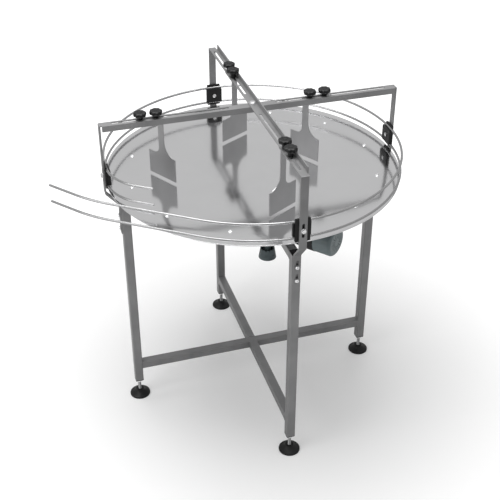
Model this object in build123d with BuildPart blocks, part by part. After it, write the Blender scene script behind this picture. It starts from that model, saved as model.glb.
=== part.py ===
from build123d import *
from math import cos, radians, sin
import os

os.makedirs("parts", exist_ok=True)

# Rotary accumulation table, in millimetres.
# The origin is on the floor under the middle of the disc; +Z is up and -Y is the front.

# Overall sizes
table_radius = 500.0
table_top = 913.0
overhead_height = 224.0  # underside of the cross beams above the disc
leg_inset = 53.0  # centre line of a leg in from the edge of the disc
leg_foot_height = 70.0  # underside of a leg above the floor
arms = {"right": 0.0, "back": 90.0, "left": 180.0, "front": 270.0}  # degrees round the table

# Clearances
slide_gap = 0.15  # between flat faces that slide on each other
running_gap = 0.05  # between a shaft or thread and its bore, on the radius
rod_gap = 0.15  # between a guide rod and its groove, on the radius
socket_gap = 0.3  # between the ball of a foot and its pad
slot_play = 0.4  # between a bolt and the side of its slot

# Square tube frame
tube = 30.0
tube_wall = 2.0
tube_corner = 3.0
arm_drop = 73.0  # top of the upper arms below the top of the disc
arm_inner_end = 62.0  # free end of each arm from the table's axis
cross_height = 127.0  # underside of the lower cross above the floor
cap_thickness = 4.0
cap_plug_depth = 12.0
cap_edge = 1.2
plate_size = 180.0
plate_thickness = 6.0
plate_corner = 8.0
plate_hole_radius = 34.0
plate_bore_gap = 4.0  # round the shaft in the bearing's plate

# Feet
pad_radius = 37.5
pad_rim_height = 7.0
pad_neck_radius = 15.0
pad_height = 25.0
pad_edge = 1.0
pad_shoulder = 3.0
pad_collar = 6.0
ball_radius = 8.7
ball_height = 13.0
stud_radius = 6.0
stud_top = 128.0
pad_mouth = 7.0
nut_width = 19.0
nut_height = 10.0
insert_flange = 3.0
insert_depth = 28.0

# Uprights and their slots
strip_width = 25.0
strip_thickness = 5.0
strip_corner = 6.0
strip_bend = 9.0
upright_bottom = 112.0  # lower end of a strip below the top of the arms
jog_bottom = 3.0  # start of the bend above the top of the arms
jog_height = 50.0
bolt_radius = 4.0
adjust_slot = 36.0
adjust_bolts = (92.0, 42.0)  # bolts below the top of the arms
bolt_in_slot = 11.0  # bolt above the lower end of its slot
clamp_slot = 49.0
head_width = 13.0
head_height = 5.3
bolt_grip = 12.0  # shank inside the leg
washer_radius = 8.0
washer_thickness = 1.6

# Cross beams of unequal angle
leaf_width = 30.0
flange_height = 20.0
angle_thickness = 3.0
beam_end_round = 2.5
beam_slot_start = 80.0
beam_slot_end = 470.0
flange_cut_x = 9.0  # flange of the left to right beam stops this far in from the ends
flange_cut_y = 22.0  # the same on the front to back beam
beam_bolt_radius = 6.0
beam_bolt_head = 19.0
beam_bolt_height = 7.5
beam_bolt_tip = 2.0  # bolt below its nut

# Paddles, as distance of the stem from the table's axis
paddle_places = {"right": 186.0, "back": 214.0, "left": 311.0, "front": 316.0}
paddle_turns = {"right": -60.0, "back": -60.0, "left": 120.0, "front": -60.0}
paddle_thickness = 3.0
blade_width = 124.0
blade_height = 81.5
blade_gap = 8.5  # lower edge of a blade above the disc
blade_corner = 3.0
small_sweep = 25.0
foot_bar = 4.0
foot_bar_inner = 12.5
foot_bar_outer = 78.0
knob_offsets = {"inner": 13.0, "outer": 65.0}  # from the stem, outwards

# Star knobs
knob_radius = 21.5
knob_lobes = 8
lobe_radius = 5.6
knob_thickness = 14.0
knob_edge = 2.0
knob_hub_radius = 9.5
knob_hub_low = 11.0  # on the left to right beam
knob_hub_high = 17.5  # over the flange of the front to back beam
knob_stud_below = 9.0  # stud below the foot bar

# Guide rails and clamps
rod_radius = 4.0
ring_inset = 0.5  # centre line of the ring in from the edge of the disc
rail_height = 45.5  # middle of the pair of rods above the disc
rail_spacing = 58.3
lane_heading = -35.5
lane_straight = 358.0
lane_bend = 15.5
lane_bend_radius = 450.0
lane_end = 170.0
inner_start = 182.5
inner_bend_radius = 170.0
inner_end = 55.0
clamp_offset = 0.3  # parting face of the clamps inside the centre line of the rods
clamp_base_depth = 6.8
clamp_base_size = (80.0, 49.0)
clamp_cover_size = (54.0, 58.0)
clamp_cover_depth = 10.0
clamp_corner = 3.0
clamp_recess_radius = 9.5
clamp_recess_depth = 3.0

# Disc, its carrier and its shaft
disc_thickness = 3.0
disc_edge = 1.0
screw_circle = 424.0
screw_count = 12
screw_start = 3.6
screw_radius = 3.0
screw_head_radius = 7.0
screw_head_height = 2.6
screw_taper = 20.0
ring_width = 40.0
ring_thickness = 6.0
spider_arms = 6
spider_arm_width = 25.0
spider_arm_height = 20.0
hub_radius = 42.0
hub_web_radius = 90.0
shaft_radius = 12.5
shoulder_radius = 18.0
shoulder_height = 4.0
shaft_below_gearbox = 4.0

# Bearing and drive
bearing_flange = 96.0
bearing_flange_height = 13.0
bearing_corner = 14.0
bearing_bolt_circle = 100.0
bearing_boss_radius = 35.0
bearing_taper = 3.0
gearbox_height = 96.0
gearbox_radius = 60.0
gearbox_edge = 5.0
gearbox_thread = 20.0  # depth of the mounting bolts in the housing
worm_offset = 50.0  # worm axis from the table's axis
worm_tunnel_radius = 30.0
worm_tunnel_half = 62.0
motor_heading = -50.0
input_flange_radius = 46.0
input_flange_end = 74.0
variator_start = 90.0
variator_end = 190.0
variator_radius = 47.0
variator_step = 3.5
variator_shoulder = 8.0
coupling_step = 6.0
motor_end = 272.0
motor_radius = 43.0
fin_count = 20
fin_height = 7.0
fin_width = 3.0
fin_root = 0.5
neck_end = 298.0
neck_radius = 52.5
cowl_end = 363.0
cowl_radius = 51.3
cowl_wall = 2.0
cowl_round = 10.0
grille_slots = 16
grille_slot = (20.0, 1.8)
grille_circle = 24.0
cowl_bore_gap = 6.0  # round the fan shaft in the rear wall of the cowl
fan_shaft_radius = 7.0
fan_shaft_depth = 28.0
fan_shaft_tip = 4.0
fan_hub_lap = 1.0
fan_hub_radius = 13.0
fan_radius = 42.0
fan_blades = 7
fan_blade = (3.0, 26.0)
terminal_size = (72.0, 58.0, 40.0)
terminal_corner = 6.0
terminal_edge = 3.0
mount_bolt_circle = 86.0

# Speed handwheel under the variator
wheel_reach = 95.0  # its axis out along the motor axis
wheel_top = 117.0  # below the motor axis
wheel_height = 36.5
wheel_top_radius = 25.0
wheel_skirt_radius = 31.0
wheel_recess = 9.0
wheel_recess_radius = 21.0
wheel_pockets = 12
wheel_pocket = (6.0, 5.0, 4.0)  # across, through the skirt and high
wheel_pocket_bottom = 15.0  # above the lower edge
wheel_pocket_circle = 29.5
wheel_notches = 12
wheel_notch = (3.0, 14.0, 3.0)  # across, through the wall and deep
wheel_shaft_radius = 10.0
wheel_shaft_depth = 15.0  # in the boss
wheel_boss_radius = 20.0
wheel_boss_bottom = 64.0  # below the motor axis

# Heights and radii that follow from the sizes above
arm_top = table_top - arm_drop
arm_bottom = arm_top - tube
tube_bore = tube - 2 * tube_wall
bore_corner = tube_corner - tube_wall
leg_radius = table_radius - leg_inset
leg_outer = leg_radius + tube / 2
leg_inner = leg_radius - tube / 2
ring_radius = table_radius - ring_inset
rail_centre = table_top + rail_height
clamp_inner_face = ring_radius - clamp_offset
upright_inner = clamp_inner_face + clamp_base_depth
upright_outer = upright_inner + strip_thickness
lower_strip_inner = leg_outer + slide_gap
beam_x_bottom = table_top + overhead_height
beam_y_bottom = beam_x_bottom + angle_thickness
disc_bottom = table_top - disc_thickness
ring_bottom = disc_bottom - ring_thickness
spider_bottom = ring_bottom - spider_arm_height
bearing_plate_top = arm_top + plate_thickness
bearing_top = spider_bottom - shoulder_height - slide_gap
drive_plate_bottom = arm_bottom - plate_thickness
gearbox_bottom = drive_plate_bottom - gearbox_height
motor_height = drive_plate_bottom - gearbox_height / 2
slot_half = bolt_radius + slot_play
beam_slot_middle = (beam_slot_start + beam_slot_end) / 2
beam_slot_length = beam_slot_end - beam_slot_start


def outwards(angle):
    """Unit direction from the table's axis along an arm."""
    return Vector(cos(radians(angle)), sin(radians(angle)), 0)


def level(angle, height):
    """Horizontal plane at a height, with X out along an arm."""
    return Plane(origin=(0, 0, height), x_dir=outwards(angle), z_dir=(0, 0, 1))


def side(angle):
    """Upright plane through the table's axis, with X out along an arm and Y up."""
    return Plane(origin=(0, 0, 0), x_dir=outwards(angle), z_dir=outwards(angle - 90))


def facing(angle, distance):
    """Upright plane across an arm at a distance, facing outwards, with X up."""
    return Plane(origin=outwards(angle) * distance, x_dir=(0, 0, 1), z_dir=outwards(angle))


motor_direction = outwards(motor_heading)
motor_origin = outwards(motor_heading - 90) * worm_offset + Vector(0, 0, motor_height)
motor_axis = Axis(motor_origin, motor_direction)
motor_side = Plane(origin=motor_origin, x_dir=motor_direction, z_dir=outwards(motor_heading - 90))


def motor_section(reach):
    """Plane across the motor axis at a reach along it, facing outwards, with X up."""
    return Plane(
        origin=motor_origin + motor_direction * reach, x_dir=(0, 0, 1), z_dir=motor_direction
    )


# Legs of square tube, with a bolt hole for each slot of the upright
for place, angle in arms.items():
    with BuildPart() as leg:
        with BuildSketch(level(angle, leg_foot_height + insert_flange)):
            with Locations((leg_radius, 0)):
                RectangleRounded(tube, tube, tube_corner)
                RectangleRounded(tube_bore, tube_bore, bore_corner, mode=Mode.SUBTRACT)
        extrude(amount=arm_top - leg_foot_height - insert_flange)
        with BuildSketch(facing(angle, leg_outer - 2 * tube_wall)):
            with Locations(*[(arm_top - drop, 0) for drop in adjust_bolts]):
                Circle(bolt_radius + running_gap)
        extrude(amount=3 * tube_wall, mode=Mode.SUBTRACT)
    leg.part.label = f"leg_{place}"
    export_step(leg.part, f"parts/leg_{place}.step")

# Plastic caps in the upper ends of the legs
with BuildPart() as leg_top_caps:
    for angle in arms.values():
        with BuildSketch(level(angle, arm_top)):
            with Locations((leg_radius, 0)):
                RectangleRounded(tube, tube, tube_corner)
        extrude(amount=cap_thickness)
        with BuildSketch(level(angle, arm_top)):
            with Locations((leg_radius, 0)):
                RectangleRounded(tube_bore, tube_bore, bore_corner)
        extrude(amount=-cap_plug_depth)
    chamfer(leg_top_caps.edges().group_by(Axis.Z)[-1], cap_edge)
leg_top_caps.part.label = "leg_top_caps"
export_step(leg_top_caps.part, "parts/leg_top_caps.step")

# Lower cross: one whole tube from left to right and two half tubes welded to it
with BuildPart() as lower_cross_tube_x:
    with BuildSketch(Plane.YZ.offset(-leg_inner)):
        with Locations((0, cross_height + tube / 2)):
            RectangleRounded(tube, tube, tube_corner)
            RectangleRounded(tube_bore, tube_bore, bore_corner, mode=Mode.SUBTRACT)
    extrude(amount=2 * leg_inner)
lower_cross_tube_x.part.label = "lower_cross_tube_x"
export_step(lower_cross_tube_x.part, "parts/lower_cross_tube_x.step")

with BuildPart() as lower_cross_tubes_y:
    for angle in (arms["back"], arms["front"]):
        with BuildSketch(facing(angle, tube / 2)):
            with Locations((cross_height + tube / 2, 0)):
                RectangleRounded(tube, tube, tube_corner)
                RectangleRounded(tube_bore, tube_bore, bore_corner, mode=Mode.SUBTRACT)
        extrude(amount=leg_inner - tube / 2)
lower_cross_tubes_y.part.label = "lower_cross_tubes_y"
export_step(lower_cross_tubes_y.part, "parts/lower_cross_tubes_y.step")

# Upper arms from each leg to the plates in the middle
with BuildPart() as upper_arms:
    for angle in arms.values():
        with BuildSketch(facing(angle, arm_inner_end)):
            with Locations((arm_top - tube / 2, 0)):
                RectangleRounded(tube, tube, tube_corner)
                RectangleRounded(tube_bore, tube_bore, bore_corner, mode=Mode.SUBTRACT)
        extrude(amount=leg_inner - arm_inner_end)
upper_arms.part.label = "upper_arms"
export_step(upper_arms.part, "parts/upper_arms.step")

# Plates over and under the arms, with a hole for the shaft and four bolts
with BuildPart() as drive_plate:
    with BuildSketch(Plane.XY.offset(drive_plate_bottom)):
        RectangleRounded(plate_size, plate_size, plate_corner)
        Circle(plate_hole_radius, mode=Mode.SUBTRACT)
        with PolarLocations(mount_bolt_circle / 2, 4, 45 + motor_heading):
            Circle(bolt_radius + running_gap, mode=Mode.SUBTRACT)
    extrude(amount=plate_thickness)
drive_plate.part.label = "drive_plate"
export_step(drive_plate.part, "parts/drive_plate.step")

with BuildPart() as bearing_plate:
    with BuildSketch(Plane.XY.offset(arm_top)):
        RectangleRounded(plate_size, plate_size, plate_corner)
        Circle(shaft_radius + plate_bore_gap, mode=Mode.SUBTRACT)
        with PolarLocations(bearing_bolt_circle / 2, 4, 45):
            Circle(bolt_radius + running_gap, mode=Mode.SUBTRACT)
    extrude(amount=plate_thickness)
bearing_plate.part.label = "bearing_plate"
export_step(bearing_plate.part, "parts/bearing_plate.step")

# Flange bearing that carries the disc
with BuildPart() as bearing_housing:
    with BuildSketch(Plane.XY.offset(bearing_plate_top)):
        RectangleRounded(bearing_flange, bearing_flange, bearing_corner)
        with PolarLocations(bearing_bolt_circle / 2, 4, 45):
            Circle(bolt_radius + running_gap, mode=Mode.SUBTRACT)
    extrude(amount=bearing_flange_height)
    with BuildSketch(Plane.XY.offset(bearing_plate_top)):
        Circle(bearing_boss_radius)
    extrude(amount=bearing_top - bearing_plate_top, taper=bearing_taper)
    with BuildSketch(Plane.XY.offset(bearing_plate_top)):
        Circle(shaft_radius + running_gap)
    extrude(amount=bearing_top - bearing_plate_top, mode=Mode.SUBTRACT)
bearing_housing.part.label = "bearing_housing"
export_step(bearing_housing.part, "parts/bearing_housing.step")

# Worm gearbox with a hollow output, hung under the drive plate
with BuildPart() as gearbox_housing:
    with BuildSketch(Plane.XY.offset(gearbox_bottom)):
        Circle(gearbox_radius)
    extrude(amount=gearbox_height)
    chamfer(gearbox_housing.edges().group_by(Axis.Z)[0], gearbox_edge)
    with BuildSketch(motor_section(-worm_tunnel_half)):
        Circle(worm_tunnel_radius)
    extrude(amount=2 * worm_tunnel_half)
    with BuildSketch(motor_section(worm_tunnel_half)):
        Circle(input_flange_radius)
    extrude(amount=input_flange_end - worm_tunnel_half)
    with BuildSketch(Plane.XY.offset(gearbox_bottom)):
        Circle(shaft_radius + running_gap)
        with PolarLocations(mount_bolt_circle / 2, 4, 45 + motor_heading):
            Circle(bolt_radius + running_gap)
    extrude(amount=gearbox_height, mode=Mode.SUBTRACT)
gearbox_housing.part.label = "gearbox_housing"
export_step(gearbox_housing.part, "parts/gearbox_housing.step")

# Speed variator between the motor and the gearbox, with a boss for its handwheel below
with BuildPart() as variator_housing:
    with BuildSketch(motor_side):
        with BuildLine():
            Polyline(
                (input_flange_end, 0),
                (input_flange_end, input_flange_radius - coupling_step),
                (variator_start, input_flange_radius - coupling_step),
                (variator_start, variator_radius - variator_step),
                (variator_start + variator_shoulder, variator_radius),
                (variator_end - variator_shoulder, variator_radius),
                (variator_end, variator_radius - variator_step),
                (variator_end, 0),
                close=True,
            )
        make_face()
    revolve(axis=motor_axis, revolution_arc=360)
    wheel_centre = motor_origin + motor_direction * wheel_reach
    with BuildSketch(Plane.XY.offset(motor_height)):
        with Locations((wheel_centre.X, wheel_centre.Y)):
            Circle(wheel_boss_radius)
    extrude(amount=-wheel_boss_bottom)
    with BuildSketch(Plane.XY.offset(motor_height - wheel_boss_bottom)):
        with Locations((wheel_centre.X, wheel_centre.Y)):
            Circle(wheel_shaft_radius + running_gap)
    extrude(amount=wheel_shaft_depth + running_gap, mode=Mode.SUBTRACT)
variator_housing.part.label = "variator_housing"
export_step(variator_housing.part, "parts/variator_housing.step")

# Motor casing with cooling fins
with BuildPart() as motor_casing:
    with BuildSketch(motor_section(variator_end)):
        Circle(motor_radius)
        with PolarLocations(motor_radius + (fin_height - fin_root) / 2, fin_count):
            Rectangle(fin_height + fin_root, fin_width)
    extrude(amount=motor_end - variator_end)
    with BuildSketch(motor_section(motor_end)):
        Circle(fan_shaft_radius + running_gap)
    extrude(amount=-fan_shaft_depth, mode=Mode.SUBTRACT)
motor_casing.part.label = "motor_casing"
export_step(motor_casing.part, "parts/motor_casing.step")

with BuildPart() as motor_neck:
    with BuildSketch(motor_section(motor_end)):
        Circle(neck_radius)
        Circle(fan_shaft_radius + running_gap, mode=Mode.SUBTRACT)
    extrude(amount=neck_end - motor_end)
motor_neck.part.label = "motor_neck"
export_step(motor_neck.part, "parts/motor_neck.step")

# Smooth fan cowl with a rounded end and a ring of air slots
with BuildPart() as fan_cowl:
    with BuildSketch(motor_section(neck_end)):
        Circle(cowl_radius)
    extrude(amount=cowl_end - neck_end)
    fillet(fan_cowl.faces().sort_by(motor_axis)[-1].edges(), cowl_round)
    offset(
        amount=-cowl_wall,
        openings=fan_cowl.faces().sort_by(motor_axis)[0],
        mode=Mode.REPLACE,
    )
    with BuildSketch(motor_section(cowl_end - 2 * cowl_wall)):
        with PolarLocations(grille_circle, grille_slots):
            Rectangle(*grille_slot)
    extrude(amount=3 * cowl_wall, mode=Mode.SUBTRACT)
    with BuildSketch(motor_section(neck_end)):
        Circle(cowl_radius - cowl_wall)
        Circle(fan_shaft_radius + cowl_bore_gap, mode=Mode.SUBTRACT)
    extrude(amount=cowl_wall)
fan_cowl.part.label = "fan_cowl"
export_step(fan_cowl.part, "parts/fan_cowl.step")

# Fan on its shaft inside the cowl
fan_start = neck_end + 3 * cowl_wall
fan_tip = fan_start + fan_blade[1] + fan_shaft_tip
with BuildPart() as cooling_fan:
    with BuildSketch(motor_section(motor_end - fan_shaft_depth + fan_hub_lap)):
        Circle(fan_shaft_radius)
    extrude(amount=fan_tip - motor_end + fan_shaft_depth - fan_hub_lap)
    with BuildSketch(motor_section(fan_start)):
        Circle(fan_hub_radius)
        with PolarLocations((fan_radius + fan_hub_radius - fan_hub_lap) / 2, fan_blades):
            Rectangle(fan_radius - fan_hub_radius + fan_hub_lap, fan_blade[0])
    extrude(amount=fan_blade[1])
cooling_fan.part.label = "cooling_fan"
export_step(cooling_fan.part, "parts/cooling_fan.step")

# Terminal box on top of the motor
with BuildPart() as terminal_box:
    box_reach = (variator_end + motor_end) / 2
    with BuildSketch(Plane(
        origin=motor_origin + motor_direction * box_reach + Vector(0, 0, motor_radius + fin_height),
        x_dir=motor_direction,
        z_dir=(0, 0, 1),
    )):
        RectangleRounded(terminal_size[0], terminal_size[1], terminal_corner)
    extrude(amount=terminal_size[2])
    chamfer(terminal_box.edges().group_by(Axis.Z)[-1], terminal_edge)
terminal_box.part.label = "terminal_box"
export_step(terminal_box.part, "parts/terminal_box.step")

# Handwheel that sets the speed, a ribbed cap on an upright shaft
with BuildPart() as speed_handwheel:
    wheel_face = motor_height - wheel_top
    with BuildSketch(Plane.XY.offset(wheel_face)):
        with Locations((wheel_centre.X, wheel_centre.Y)):
            Circle(wheel_top_radius)
    with BuildSketch(Plane.XY.offset(wheel_face - wheel_height)):
        with Locations((wheel_centre.X, wheel_centre.Y)):
            Circle(wheel_skirt_radius)
    loft()
    with BuildSketch(Plane.XY.offset(wheel_face)):
        with Locations((wheel_centre.X, wheel_centre.Y)):
            Circle(wheel_recess_radius)
    extrude(amount=-wheel_recess, mode=Mode.SUBTRACT)
    with BuildSketch(Plane.XY.offset(wheel_face - wheel_height + wheel_pocket_bottom)):
        with Locations((wheel_centre.X, wheel_centre.Y)):
            with PolarLocations(wheel_pocket_circle, wheel_pockets):
                Rectangle(wheel_pocket[1], wheel_pocket[0])
    extrude(amount=wheel_pocket[2], mode=Mode.SUBTRACT)
    with BuildSketch(Plane.XY.offset(wheel_face)):
        with Locations((wheel_centre.X, wheel_centre.Y)):
            with PolarLocations(wheel_top_radius, wheel_notches):
                Rectangle(wheel_notch[1], wheel_notch[0])
    extrude(amount=-wheel_notch[2], mode=Mode.SUBTRACT)
    with BuildSketch(Plane.XY.offset(wheel_face - wheel_recess)):
        with Locations((wheel_centre.X, wheel_centre.Y)):
            Circle(wheel_shaft_radius)
    extrude(amount=wheel_top - wheel_boss_bottom + wheel_recess + wheel_shaft_depth)
speed_handwheel.part.label = "speed_handwheel"
export_step(speed_handwheel.part, "parts/speed_handwheel.step")

# Bolts of the gearbox and of the bearing
with BuildPart() as drive_bolts:
    with BuildSketch(Plane.XY.offset(arm_bottom)):
        with PolarLocations(mount_bolt_circle / 2, 4, 45 + motor_heading):
            RegularPolygon(head_width / 2, 6, major_radius=False)
    extrude(amount=head_height)
    with BuildSketch(Plane.XY.offset(arm_bottom)):
        with PolarLocations(mount_bolt_circle / 2, 4, 45 + motor_heading):
            Circle(bolt_radius)
    extrude(amount=-plate_thickness - gearbox_thread)
    with BuildSketch(Plane.XY.offset(bearing_plate_top + bearing_flange_height)):
        with PolarLocations(bearing_bolt_circle / 2, 4, 45):
            RegularPolygon(head_width / 2, 6, major_radius=False)
    extrude(amount=head_height)
    with BuildSketch(Plane.XY.offset(bearing_plate_top + bearing_flange_height)):
        with PolarLocations(bearing_bolt_circle / 2, 4, 45):
            Circle(bolt_radius)
    extrude(amount=-bearing_flange_height - plate_thickness)
drive_bolts.part.label = "drive_bolts"
export_step(drive_bolts.part, "parts/drive_bolts.step")

# Threaded inserts in the lower ends of the legs
with BuildPart() as foot_inserts:
    for angle in arms.values():
        with BuildSketch(level(angle, leg_foot_height)):
            with Locations((leg_radius, 0)):
                RectangleRounded(tube, tube, tube_corner)
        extrude(amount=insert_flange)
        with BuildSketch(level(angle, leg_foot_height + insert_flange)):
            with Locations((leg_radius, 0)):
                RectangleRounded(tube_bore, tube_bore, bore_corner)
        extrude(amount=insert_depth)
        with BuildSketch(level(angle, leg_foot_height)):
            with Locations((leg_radius, 0)):
                Circle(stud_radius + running_gap)
        extrude(amount=insert_depth + insert_flange, mode=Mode.SUBTRACT)
foot_inserts.part.label = "foot_inserts"
export_step(foot_inserts.part, "parts/foot_inserts.step")

with BuildPart() as foot_locknuts:
    for angle in arms.values():
        with BuildSketch(level(angle, leg_foot_height)):
            with Locations((leg_radius, 0)):
                RegularPolygon(nut_width / 2, 6, major_radius=False)
                Circle(stud_radius + running_gap, mode=Mode.SUBTRACT)
        extrude(amount=-nut_height)
foot_locknuts.part.label = "foot_locknuts"
export_step(foot_locknuts.part, "parts/foot_locknuts.step")

# Levelling feet: a pad with a ball socket, and a threaded stud with a ball end
for place, angle in arms.items():
    foot_axis = Axis(outwards(angle) * leg_radius, (0, 0, 1))
    with BuildPart() as foot_pad:
        with BuildSketch(side(angle)):
            with BuildLine():
                Polyline(
                    (leg_radius, 0),
                    (leg_radius + pad_radius - pad_edge, 0),
                    (leg_radius + pad_radius, pad_edge),
                    (leg_radius + pad_radius, pad_rim_height - pad_shoulder),
                    (leg_radius + pad_radius - pad_shoulder, pad_rim_height),
                    (leg_radius + pad_neck_radius, pad_height - pad_collar),
                    (leg_radius + pad_neck_radius - pad_edge, pad_height),
                    (leg_radius, pad_height),
                    close=True,
                )
            make_face()
        revolve(axis=foot_axis, revolution_arc=360)
        with Locations(outwards(angle) * leg_radius + Vector(0, 0, ball_height)):
            Sphere(ball_radius + socket_gap, mode=Mode.SUBTRACT)
        with BuildSketch(level(angle, ball_height)):
            with Locations((leg_radius, 0)):
                Circle(pad_mouth)
        extrude(amount=pad_height, mode=Mode.SUBTRACT)
    foot_pad.part.label = f"foot_pad_{place}"
    export_step(foot_pad.part, f"parts/foot_pad_{place}.step")

    with BuildPart() as foot_stud:
        with Locations(outwards(angle) * leg_radius + Vector(0, 0, ball_height)):
            Sphere(ball_radius)
        with BuildSketch(level(angle, ball_height)):
            with Locations((leg_radius, 0)):
                Circle(stud_radius)
        extrude(amount=stud_top - ball_height)
        chamfer(foot_stud.edges().group_by(Axis.Z)[-1], pad_edge)
    foot_stud.part.label = f"foot_stud_{place}"
    export_step(foot_stud.part, f"parts/foot_stud_{place}.step")

# Bolts that hold the uprights to the legs
with BuildPart() as upright_bolts:
    for angle in arms.values():
        head_face = lower_strip_inner + strip_thickness + slide_gap
        spots = [(arm_top - drop, 0) for drop in adjust_bolts]
        with BuildSketch(facing(angle, head_face)):
            with Locations(*spots):
                Circle(washer_radius)
        extrude(amount=washer_thickness)
        with BuildSketch(facing(angle, head_face + washer_thickness)):
            with Locations(*spots):
                RegularPolygon(head_width / 2, 6, major_radius=False)
        extrude(amount=head_height)
        with BuildSketch(facing(angle, head_face)):
            with Locations(*spots):
                Circle(bolt_radius)
        extrude(amount=-strip_thickness - bolt_grip)
upright_bolts.part.label = "upright_bolts"
export_step(upright_bolts.part, "parts/upright_bolts.step")

# Uprights: bent strips with two adjusting slots below and the clamp's slot above
for place, angle in arms.items():
    beam_bottom = beam_x_bottom if place in ("left", "right") else beam_y_bottom
    low = lower_strip_inner + strip_thickness / 2
    high = upright_inner + strip_thickness / 2
    with BuildPart() as upright:
        with BuildLine(side(angle)) as strip_line:
            FilletPolyline(
                (low, arm_top - upright_bottom),
                (low, arm_top + jog_bottom),
                (high, arm_top + jog_bottom + jog_height),
                (high, beam_bottom),
                radius=strip_bend,
            )
        start = outwards(angle) * low + Vector(0, 0, arm_top - upright_bottom)
        with BuildSketch(Plane(origin=start, x_dir=outwards(angle), z_dir=(0, 0, 1))):
            Rectangle(strip_thickness, strip_width)
        sweep()
        lower_corners = upright.edges().filter_by(Axis((0, 0, 0), outwards(angle)))
        fillet(lower_corners.group_by(Axis.Z)[0], strip_corner)
        with BuildSketch(facing(angle, low - strip_thickness)):
            for drop in adjust_bolts:
                with Locations((arm_top - drop - bolt_in_slot + adjust_slot / 2, 0)):
                    SlotOverall(adjust_slot, 2 * slot_half)
        extrude(amount=2 * strip_thickness, mode=Mode.SUBTRACT)
        with BuildSketch(facing(angle, high - strip_thickness)):
            with Locations((rail_centre, 0)):
                SlotOverall(clamp_slot, 2 * slot_half)
        extrude(amount=2 * strip_thickness, mode=Mode.SUBTRACT)
    upright.part.label = f"upright_{place}"
    export_step(upright.part, f"parts/upright_{place}.step")


# Beam from left to right, with its flange down at the front
with BuildPart() as beam_x:
    with BuildSketch(Plane.XY.offset(beam_x_bottom)):
        Rectangle(2 * upright_outer, strip_width)
        with Locations((0, strip_width / 2 - leaf_width / 2)):
            Rectangle(2 * (upright_outer - flange_cut_x), leaf_width)
        with Locations((beam_slot_middle, 0), (-beam_slot_middle, 0)):
            SlotOverall(beam_slot_length, 2 * slot_half, mode=Mode.SUBTRACT)
        Circle(beam_bolt_radius + running_gap, mode=Mode.SUBTRACT)
    extrude(amount=angle_thickness)
    with BuildSketch(Plane.XY.offset(beam_x_bottom)):
        with Locations((0, strip_width / 2 - leaf_width + angle_thickness / 2)):
            Rectangle(2 * (upright_outer - flange_cut_x), angle_thickness)
    extrude(amount=angle_thickness - flange_height)
    ends = beam_x.edges().filter_by(Axis.Y).group_by(Axis.Z)[-1]
    fillet([ends.sort_by(Axis.X)[0], ends.sort_by(Axis.X)[-1]], beam_end_round)
beam_x.part.label = "beam_x"
export_step(beam_x.part, "parts/beam_x.step")

# Beam from front to back, lying on the other, with its flange up at the right
with BuildPart() as beam_y:
    with BuildSketch(Plane.XY.offset(beam_y_bottom)):
        Rectangle(strip_width, 2 * upright_outer)
        with Locations((leaf_width / 2 - strip_width / 2, 0)):
            Rectangle(leaf_width, 2 * (upright_outer - flange_cut_y))
        with Locations((0, beam_slot_middle), (0, -beam_slot_middle)):
            SlotOverall(beam_slot_length, 2 * slot_half, rotation=90, mode=Mode.SUBTRACT)
        Circle(beam_bolt_radius + running_gap, mode=Mode.SUBTRACT)
    extrude(amount=angle_thickness)
    ends = beam_y.edges().filter_by(Axis.X).group_by(Axis.Z)[-1]
    fillet([ends.sort_by(Axis.Y)[0], ends.sort_by(Axis.Y)[-1]], beam_end_round)
    with BuildSketch(Plane.XY.offset(beam_y_bottom)):
        with Locations((leaf_width - strip_width / 2 - angle_thickness / 2, 0)):
            Rectangle(angle_thickness, 2 * (upright_outer - flange_cut_y))
    extrude(amount=flange_height)
beam_y.part.label = "beam_y"
export_step(beam_y.part, "parts/beam_y.step")

# Bolt and nut where the beams cross
with BuildPart() as beam_bolt:
    with BuildSketch(Plane.XY.offset(beam_y_bottom + angle_thickness)):
        RegularPolygon(beam_bolt_head / 2, 6, major_radius=False)
    extrude(amount=beam_bolt_height)
    with BuildSketch(Plane.XY.offset(beam_y_bottom + angle_thickness)):
        Circle(beam_bolt_radius)
    extrude(amount=-2 * angle_thickness - beam_bolt_height - beam_bolt_tip)
    with BuildSketch(Plane.XY.offset(beam_x_bottom)):
        RegularPolygon(beam_bolt_head / 2, 6, major_radius=False)
    extrude(amount=-beam_bolt_height)
beam_bolt.part.label = "beam_bolt"
export_step(beam_bolt.part, "parts/beam_bolt.step")

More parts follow.
